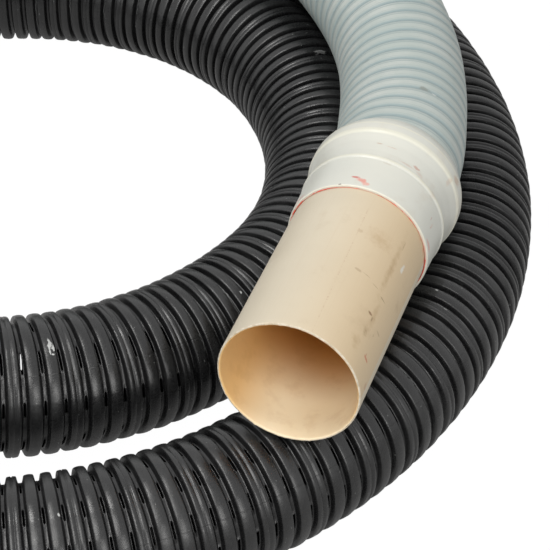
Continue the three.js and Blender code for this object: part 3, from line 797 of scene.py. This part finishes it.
PIPE_MARKS = (
    (134, 57, 15.0, 17.0, 0.5, "B39670"), (130, 74, 3.0, 3.0, 0.3, "A98C66"),
    (118, 37, 52.0, 4.4, 0.6, "A98C66"), (60, 32, 28.0, 5.0, 0.5, "A98C66"),
    (42, 34, 9.0, 4.4, 0.7, "9A7E5C"), (24, 38, 10.0, 7.0, 0.5, "A98C66"),
    (88.5, 62, 1.8, 4.0, 0.4, "9A7E60"), (89.4, 54, 0.6, 5.0, 0.4, "8E7456"),
    (87, 43, 0.6, 6.0, 0.4, "8E7456"), (84, 31, 0.7, 5.0, 0.55, "7E654A"),
    (60, 37, 1.9, 2.8, 0.75, "7A5234"), (57, 33, 2.6, 1.2, 0.55, "7E5F45"),
    (131, 26, 6.5, 2.2, 0.85, "DEDBD3"), (150, 35, 8.0, 0.7, 0.45, "8E7456"),
    (56, 20, 1.2, 3.4, 0.35, "8E7456"), (24, 20, 1.7, 5.2, 0.75, "C06A52"),
    (26.4, 22, 2.2, 0.9, 0.45, "B5654B"), (12, 3, 5.0, 3.0, 0.4, "A8785C"),
    (48, 24, 3.0, 1.0, 0.3, "8E7456"), (142, 109, 10.0, 7.0, 0.15, "A98C66"),
    (100, 12, 9.0, 5.0, 0.25, "A98C66"),
)


def cuff_material():
    m, colour = plastic("cuff_plastic", "D2D3CB", "D7D7CE", 0.34)
    u, v = m.uv()
    for at, half in CREAM_BANDS:
        far = m.math("ABSOLUTE", m.math("SUBTRACT", u, (CUFF_AT + at) * MM))
        colour = m.tint(colour, "E4E2D1", m.ramp(far, half * MM, half * MM * 0.4), 0.6)
    wander = m.math("SUBTRACT", m.noise(m.place(), 130, 4, 0.65), 0.5)
    broad = m.ramp(m.noise(m.place(), 40, 4, 0.6), 0.55, 0.72)
    colour = m.tint(colour, "B9A88F", broad, 0.16)
    colour = m.marks(colour, (u, v), CUFF_MARKS, MARK_R * MM, m.math("MULTIPLY", wander, 2.6), 0.7)
    return m.painted(colour)


def pipe_material():
    m, colour = plastic("pipe_plastic", "D0C6B2", "D6CCB8", 0.46, 9.0, 0.3)
    u, v = m.uv()
    # the right side is painted darker and warmer: painted shade, with a painted warm reflection
    right_side_shade = m.ramp(v, 0.118, 0.030)
    colour = m.tint(colour, "D2B68C", right_side_shade, 0.65)
    lines = m.noise(m.scaled((u, v), 5, 900), 1.0, 3, 0.6)
    colour = m.tint(colour, "C4AD8B", m.ramp(lines, 0.5, 0.75), 0.14)
    wander = m.math("SUBTRACT", m.noise(m.place(), 180, 4, 0.65), 0.5)
    grime = m.ramp(m.noise(m.place(), 34, 5, 0.65), 0.56, 0.75)
    colour = m.tint(colour, "A98F6F", grime, 0.16)
    colour = m.marks(colour, (u, v), PIPE_MARKS, MARK_R * MM, m.math("MULTIPLY", wander, 1.6), 0.6)
    # a long scratch along the pipe, broken into dots
    line = m.math("ABSOLUTE", m.math("SUBTRACT", v, m.math("MULTIPLY_ADD", u, 0.0235, 0.0722)))
    dots = m.ramp(m.noise(m.vector(m.math("MULTIPLY", u, 420), 0.0), 1.0, 2, 0.5), 0.45, 0.6)
    faint = m.ramp(m.noise(m.vector(m.math("MULTIPLY", u, 38), 0.0), 1.0, 2, 0.5), 0.35, 0.62)
    scratch = m.math("MULTIPLY", m.math("MULTIPLY", m.ramp(line, 0.0006, 0.0002), dots), faint)
    colour = m.tint(colour, "B08A68", scratch, 0.5)
    # cement wiped on beside the cuff
    near = m.ramp(u, (CUFF_AT - 7) * MM, (CUFF_AT - 0.5) * MM)
    side = m.ramp(m.math("ABSOLUTE", m.math("SUBTRACT", v, 0.0899)), 0.058, 0.085)
    wiped = m.math("MULTIPLY", m.math("MULTIPLY", near, side), m.ramp(wander, -0.05, 0.12))
    colour = m.tint(colour, "D8604E", wiped, 0.6)
    return m.painted(colour)


# the bore's colour holds painted light: pale on its floor, as if lit through the mouth, golden on the walls
# away from it, as light glowing through the wall, and darker deeper in, as painted shade
BORE_LIT_FLOOR = 287  # degrees round the bore: the palest part of its wall


def pipe_bore_material():
    m, colour = plastic("pipe_bore_plastic", "FAEACA", "F6E4C0", 0.42, 12.0, 0.3)
    u, v = m.uv()
    # painted shade deeper in the bore, and painted light on its floor, with golden walls away from it
    shade_depth = m.math("ADD", u, m.math("MULTIPLY", m.noise(m.place(), 9, 2, 0.5), 0.03))
    from_lit_floor = m.math("ABSOLUTE", m.math("SUBTRACT", v, math.radians(BORE_LIT_FLOOR) * MARK_R * MM))
    colour = m.tint(colour, "EDBD74", m.ramp(from_lit_floor, 0.030, 0.082), 0.8)
    colour = m.mix(m.ramp(shade_depth, 0.052, 0.130), colour, linear("DCA45C"))
    mottled = m.ramp(m.noise(m.place(), 60, 4, 0.6), 0.5, 0.72)
    colour = m.tint(colour, "B98A50", mottled, 0.15)
    return m.painted(colour)


def pipe_rim_material():
    m, colour = plastic("pipe_rim_plastic", "E4DAC8", "CDBFA6", 0.6, 240.0, 0.3)
    chatter = m.noise(m.place(), 1500, 3, 0.7)
    m.join(m.bump(chatter, 0.5, 0.0006), m.shader.inputs["Normal"])
    return m.painted(colour)


def make_pipe():
    stations = [0.9, 2.5, 6, 12, 20, 30, 45, 60, 80, 100, 120, 140, 160, 175, 190, 210]
    stations.append(CUFF_AT + PIPE_INSERTED)
    outside = [(s, PIPE_R) for s in stations]
    mouth = [(0.5, PIPE_BORE_R + 0.2), (0.0, PIPE_BORE_R + 1.0)]
    mouth += [(0.0, PIPE_R - 0.75), (0.25, PIPE_R - 0.25)]
    inside = [(s, PIPE_BORE_R) for s in stations]
    profile = inside[::-1] + mouth + outside
    mesh = lathe("stub_pipe_skin", profile, ROUND)
    materials = (pipe_material(), pipe_bore_material(), pipe_rim_material())
    for material in materials:
        mesh.materials.append(material)
    rows, bore_rows = len(profile), len(inside)
    index = np.zeros((rows, ROUND), np.int32)
    index[: bore_rows + 1] = 1
    index[bore_rows + 1 : bore_rows + 4] = 2
    mesh.polygons.foreach_set("material_index", index.ravel())
    # the saw-cut end is a little uneven
    co = np.zeros(len(mesh.vertices) * 3, np.float32)
    mesh.vertices.foreach_get("co", co)
    co = co.reshape(rows, ROUND, 3)
    rng = np.random.default_rng(3)
    wave = np.convolve(rng.normal(0, 1, ROUND + 8), np.ones(5) / 5, "same")[4:-4]
    cut = (0.00022 * wave)[:, None] * AXIS.astype(np.float32)
    burr = (0.00035 * np.clip(rng.normal(0, 1, ROUND) - 0.9, 0, 2))[:, None] * -AXIS.astype(np.float32)
    rim = slice(bore_rows - 1, bore_rows + 5)
    co[rim] += (cut + burr)[None].astype(np.float32)
    mesh.vertices.foreach_set("co", co.ravel())
    mesh.update()
    made = link("beige_stub_pipe", mesh, "swivel_end")
    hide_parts("stub_pipe")


def make_cuff():
    soft = 2.0
    # distance from the rim, radius and size of the corner's arc, out along the inside and back outside
    outline = [
        (0, 57.45, 0.3), (51, 57.45, 0.2), (51, 51, 0.4), (57, 51, 0.4), (57, 59.3, 0.2),
        (69.7, 59.3, 0.2), (69.7, 62, 0.2), (79.3, 62, 0.2), (79.3, 59.3, 0.2), (99, 59.3, 0.3),
        (99, 60.2, 0.4), (96, 61.8, soft), (90, 64.4, soft), (84.5, 65.8, 1.2), (82, 66, 0.8),
        (75, 65.9, 0.9), (73, 65.7, 0.9), (71, 64.5, 1.2), (62, 62.2, soft), (51, 61.2, 1.0),
        (43.8, 61.1, 0.3), (42.8, 62.0, 0.8), (40.2, 62.0, 0.8), (38.8, 60.9, 0.4), (20, 60.3, 0.5),
        (1.0, 59.8, 0.6), (0, 59.2, 0.5),
    ]
    profile = rounded([(CUFF_AT + s, r) for s, r, _ in outline], [q for _, _, q in outline])
    mesh = lathe("cuff_skin", profile[::-1], ROUND, cuff_material(), angle=34)
    made = link("white_cuff", mesh, "swivel_end")
    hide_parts("cuff")


def make_cement():
    m, colour = plastic("cement_red", "F0583F", "E64836", 0.3, 160.0, 0.5)
    bare = m.ramp(m.noise(m.place(), 70, 3, 0.6), 0.50, 0.57)
    colour = m.tint(colour, "DFC9B8", bare, 0.7)
    m.painted(colour)
    rows = 8
    rng = np.random.default_rng(11)
    bulk = np.convolve(rng.normal(0, 1, ROUND + 16), np.ones(9) / 3, "same")[8:-8]
    around = np.arange(ROUND) * 2 * math.pi / ROUND
    side = np.clip(np.abs(np.cos(around)) * 1.25 - 0.35, 0, 1)  # there is more of it on the two sides
    size = 0.26 + 0.46 * side + 0.16 * bulk * (0.4 + side)
    size = np.clip(size, 0.12, 1.10)
    x, zz = np.array([1.0, 0, 0]), np.cross([1.0, 0, 0], AXIS)
    spokes = np.cos(around)[:, None] * x + np.sin(around)[:, None] * zz
    points = np.zeros((rows, ROUND, 3))
    for r in range(rows):
        a = 2 * math.pi * r / rows
        s = CUFF_AT - GAP - size * 0.55 + 0.5 * size * math.cos(a)
        radius = PIPE_R + 0.35 + 0.62 * size * (1 + math.sin(a))
        points[r] = AXIS_START + COIL_CENTRE + s[:, None] * AXIS + radius[:, None] * spokes
    i, k = np.meshgrid(np.arange(rows), np.arange(ROUND), indexing="ij")
    j, n = (i + 1) % rows, (k + 1) % ROUND
    quads = np.stack([i * ROUND + k, j * ROUND + k, j * ROUND + n, i * ROUND + n], axis=-1)
    mesh = quad_mesh("cement_skin", points.reshape(-1, 3), quads.reshape(-1, 4), None, m.material)
    made = link("red_cement", mesh, "swivel_end")
    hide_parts("cement_bead")


def make_ferrule():
    m, colour = plastic("ferrule_plastic", "C9C8BE", "BFBEB4", 0.45)
    m.painted(colour)
    end = 38.0
    profile = [
        (0, 51), (FERRULE_STOP, 51), (FERRULE_STOP, 56.5), (end, 56.5), (end, 58.7), (18.5, 58.7),
        (18.5, 61.7), (9.5, 61.7), (9.5, 58.7), (0, 58.7),
    ]
    outline = rounded([(FERRULE_AT + s, r) for s, r in profile], 0.3)
    mesh = lathe("ferrule_skin", outline[::-1], 160, m.material)
    made = link("hose_ferrule", mesh, "hose_line")
    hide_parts("swivel_ferrule")


make_pipe()
make_cuff()
make_cement()
make_ferrule()

# ---------------------------------------------------------------- sleeve and clamps

SLEEVE_SEAT_R = BLACK_R + GAP + SLEEVE_WALL


def make_sleeve():
    m, colour = plastic("sleeve_rubber", "1B1B1C", "252526", 0.62, 30.0, 0.35)
    dust = m.ramp(m.noise(m.place(), 70, 4, 0.6), 0.52, 0.75)
    colour = m.tint(colour, "4A4A48", dust, 0.3)
    m.painted(colour)
    side = (SLEEVE_LENGTH - SLEEVE_WEB) / 2
    s0, s1 = -side + GAP, SLEEVE_WEB + GAP + side
    web_end = GAP + SLEEVE_WEB
    lip, seat, web = SLEEVE_SEAT_R + SLEEVE_LIP, SLEEVE_SEAT_R, 50.5
    # distance along, radius and size of the corner's arc
    profile = [
        (s0, BLACK_R + GAP, 0.6), (GAP, BLACK_R + GAP, 0.2), (GAP, web, 0.5), (web_end, web, 0.5),
        (web_end, GREY_R + GAP, 0.2), (s1, GREY_R + GAP, 0.6), (s1, lip, 1.2), (s1 - 5, lip, 1.0),
        (s1 - 6.5, seat, 1.0), (12.3, seat, 2.0), (4.8, seat + 0.6, 3.0), (-2.7, seat, 2.0),
        (s0 + 6.5, seat, 1.0), (s0 + 5, lip, 1.0), (s0, lip, 1.2),
    ]
    outline = rounded([(s, r) for s, r, _ in profile], [q for _, _, q in profile])
    origin = joint_at + COIL_CENTRE
    mesh = turned_on("sleeve_skin", outline[::-1], 160, m.material, origin, join_direction)
    made = link("rubber_sleeve", mesh, "hose_line")
    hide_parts("coupling_sleeve")


def steel_material():
    m = Nodes("clamp_steel")
    brushed = m.noise(m.place(), 500, 3, 0.6)
    colour = m.mix(m.ramp(brushed, 0.3, 0.7), linear("A9ACAF"), linear("C3C6C8"))
    m.painted(colour)
    m.shader.inputs["Metallic"].default_value = 1.0
    m.join(m.ramp(brushed, 0.3, 0.7, 0.24, 0.38), m.shader.inputs["Roughness"])
    return m.material


make_sleeve()
steel = steel_material()
for name in ("clamp_band_black", "clamp_band_grey", "clamp_screw_black", "clamp_screw_grey"):
    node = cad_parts[name]
    node.data.materials.clear()
    node.data.materials.append(steel)

# ---------------------------------------------------------------- floor, light and background

FLOOR_HALF, FLOOR_Z = 30.0, -0.0005  # m
LAMP_COLOUR = (1.0, 0.99, 0.97)

scene = bpy.context.scene
scene.view_settings.view_transform = "Standard"


def make_floor():
    mesh = bpy.data.meshes.new("floor")
    corners = [(x * FLOOR_HALF, y * FLOOR_HALF, FLOOR_Z) for x, y in ((-1, -1), (1, -1), (1, 1), (-1, 1))]
    mesh.from_pydata(corners, [], [(0, 1, 2, 3)])
    floor = bpy.data.objects.new("floor", mesh)
    scene.collection.objects.link(floor)
    m = Nodes("floor_white")
    m.shader.inputs["Base Color"].default_value = (0.45, 0.45, 0.45, 1)
    m.shader.inputs["Roughness"].default_value = 0.9
    m.shader.inputs["Specular IOR Level"].default_value = 0.0
    glow = m.new("ShaderNodeEmission")
    glow.inputs["Color"].default_value = (1, 1, 1, 1)
    glow.inputs["Strength"].default_value = 1.07
    # the camera sees it white, with a weak shadow; the hoses see less of its glow
    rays = m.new("ShaderNodeLightPath")
    mirrored = m.math("MULTIPLY", rays.outputs["Is Glossy Ray"], 0.2)
    seen = m.math("MAXIMUM", rays.outputs["Is Camera Ray"], mirrored)
    seen = m.math("MAXIMUM", seen, rays.outputs["Is Transmission Ray"])
    mixed = m.new("ShaderNodeMixShader")
    m.join(m.math("MULTIPLY", seen, 0.93), mixed.inputs[0])
    m.join(m.shader.outputs[0], mixed.inputs[1])
    m.join(glow.outputs[0], mixed.inputs[2])
    m.join(mixed.outputs[0], m.tree.nodes["Material Output"].inputs["Surface"])
    mesh.materials.append(m.material)


def make_world():
    world = bpy.data.worlds.new("studio")
    scene.world = world
    world.use_nodes = True
    tree = world.node_tree
    tree.nodes.clear()
    out = tree.nodes.new("ShaderNodeOutputWorld")
    fill = tree.nodes.new("ShaderNodeBackground")
    fill.inputs["Color"].default_value = LAMP_COLOUR + (1,)
    fill.inputs["Strength"].default_value = 0.36
    white = tree.nodes.new("ShaderNodeBackground")
    white.inputs["Color"].default_value = (1, 1, 1, 1)
    white.inputs["Strength"].default_value = 1.0
    rays = tree.nodes.new("ShaderNodeLightPath")
    mixed = tree.nodes.new("ShaderNodeMixShader")
    seen = rays.outputs["Is Camera Ray"]
    for kind in ("Is Glossy Ray", "Is Transmission Ray"):
        either = tree.nodes.new("ShaderNodeMath")
        either.operation = "MAXIMUM"
        tree.links.new(seen, either.inputs[0])
        tree.links.new(rays.outputs[kind], either.inputs[1])
        seen = either.outputs[0]
    tree.links.new(seen, mixed.inputs[0])
    tree.links.new(fill.outputs[0], mixed.inputs[1])
    tree.links.new(white.outputs[0], mixed.inputs[2])
    tree.links.new(mixed.outputs[0], out.inputs["Surface"])


def area_light(name, at, to, size, power):
    data = bpy.data.lights.new(name, "AREA")
    data.shape = "SQUARE"
    data.size = size
    data.energy = power
    data.color = LAMP_COLOUR
    lamp = bpy.data.objects.new(name, data)
    scene.collection.objects.link(lamp)
    lamp.location = at
    lamp.rotation_euler = (Vector(to) - Vector(at)).to_track_quat("-Z", "Y").to_euler()


make_floor()
make_world()
area_light("key", (-0.45, -0.35, 2.8), (0.35, 0.0, 0.1), 0.75, 27)
area_light("front", (0.35, -2.0, 2.7), (0.4, -0.2, 0.1), 1.6, 48)
area_light("side", (2.0, -1.8, 1.1), (0.45, -0.1, 0.15), 1.0, 16)
